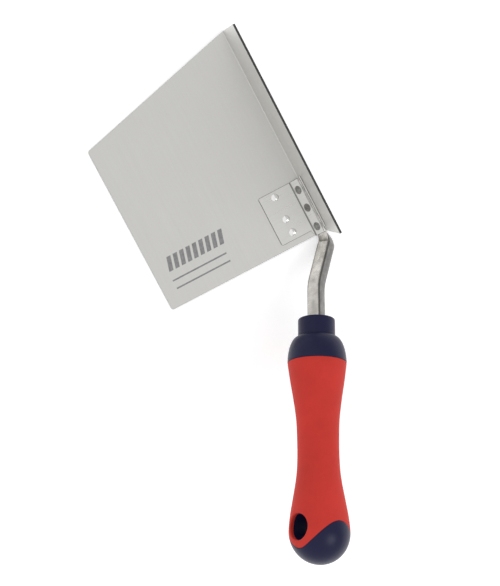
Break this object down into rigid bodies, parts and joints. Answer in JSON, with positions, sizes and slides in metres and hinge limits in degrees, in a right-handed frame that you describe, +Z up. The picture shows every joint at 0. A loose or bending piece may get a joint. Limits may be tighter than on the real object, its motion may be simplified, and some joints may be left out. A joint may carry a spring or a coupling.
{
  "type": "inside-corner trowel",
  "caption": "Inside-corner plastering trowel: folded sheet-steel blade at 90 degrees, riveted angle bracket, bent square tang and two-part moulded handle with a hanging hole.",
  "frame": {"origin": "on the surface that the tool lies on, under the middle of its bounding box", "axes": "+X out of the upright right wing's working face, +Y along the fold towards the front of the blade, +Z up from the left wing, which lies flat"},
  "size_m": [0.102, 0.272, 0.102],
  "materials": {
    "blade_steel": "satin stainless sheet",
    "bracket_steel": "satin stainless plate",
    "bar_steel": "polished bar with drawn marks",
    "rivet_steel": "bright domed heads",
    "weld_metal": "dull, heat darkened",
    "navy_plastic": "semi-matt moulded",
    "red_grip": "soft-touch, matt"
  },
  "bodies": {
    "root": {"blade": "blade_steel", "angle_bracket": "bracket_steel", "tang": "bar_steel", "handle_core": "navy_plastic", "grip_sleeve": "red_grip", "left_rivet_1": "rivet_steel", "left_rivet_2": "rivet_steel", "left_rivet_3": "rivet_steel", "right_rivet_1": "rivet_steel", "right_rivet_2": "rivet_steel", "right_rivet_3": "rivet_steel", "plug_weld_1": "weld_metal", "plug_weld_2": "weld_metal", "plug_weld_3": "weld_metal"}
  },
  "joints": []
}
